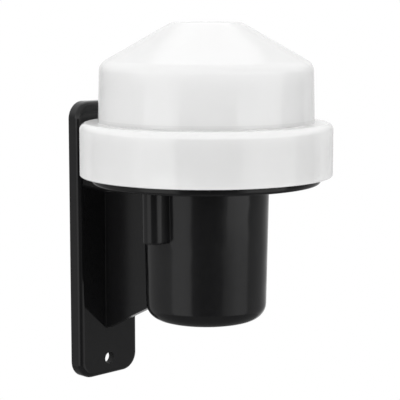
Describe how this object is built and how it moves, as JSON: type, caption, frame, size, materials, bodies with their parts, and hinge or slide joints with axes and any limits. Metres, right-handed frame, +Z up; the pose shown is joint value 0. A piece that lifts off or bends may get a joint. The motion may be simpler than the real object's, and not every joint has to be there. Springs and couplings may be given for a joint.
{
  "type": "photocell switch",
  "caption": "Dusk-to-dawn light switch: white domed cap over a black cup, carried off the wall by a thin bracket web and plate.",
  "frame": {"origin": "on the wall plane, halfway between the two fixing holes", "axes": "+Z up, +Y into the wall, so the switch stands out along -Y"},
  "size_m": [0.078, 0.0895, 0.1187],
  "materials": {
    "black_plastic": "glossy black moulding",
    "opal_plastic": "smooth opal white moulding",
    "seal_rubber": "matt",
    "board_laminate": "laminate",
    "plated_steel": "zinc plated",
    "terminal_plastic": "moulded",
    "clamp_brass": "plain",
    "relay_plastic": "moulded",
    "film_case": "moulded",
    "can_sleeve": "shrunk sleeve",
    "varistor_coat": "dipped epoxy",
    "black_epoxy": "moulded epoxy",
    "diode_glass": "sealed glass",
    "green_enamel": "enamel",
    "tan_enamel": "enamel",
    "sensor_ceramic": "sealed ceramic",
    "trimmer_plastic": "moulded",
    "rotor_plastic": "moulded"
  },
  "bodies": {
    "base": {"base_housing": "black_plastic", "rim_gasket": "seal_rubber", "cable_grommet": "seal_rubber", "circuit_board": "board_laminate", "board_screws": "plated_steel", "terminal_block": "terminal_plastic", "terminal_clamps": "clamp_brass", "terminal_screws": "plated_steel", "relay": "relay_plastic", "dropper_capacitor": "film_case", "smoothing_capacitor": "can_sleeve", "delay_capacitor": "can_sleeve", "surge_varistor": "varistor_coat", "rectifier_diodes": "black_epoxy", "zener_diode": "diode_glass", "fusible_resistor": "green_enamel", "small_resistors": "tan_enamel", "driver_transistor": "black_epoxy", "comparator_chip": "black_epoxy", "photoresistor": "sensor_ceramic", "trimmer_body": "trimmer_plastic"},
    "cap": {"cap": "opal_plastic"},
    "trimmer_rotor": {"trimmer_rotor": "rotor_plastic"}
  },
  "joints": [
    {"name": "cap_twist", "type": "hinge", "parent": "base", "child": "cap", "pos_m": [0, -0.0505, 0.0254], "axis": [0, 0, 1], "range_deg": [0, 40]},
    {"name": "level_set", "type": "hinge", "parent": "base", "child": "trimmer_rotor", "pos_m": [0.0153, -0.0551, 0.0346], "axis": [0, 0, 1], "range_deg": [-135, 135]}
  ]
}
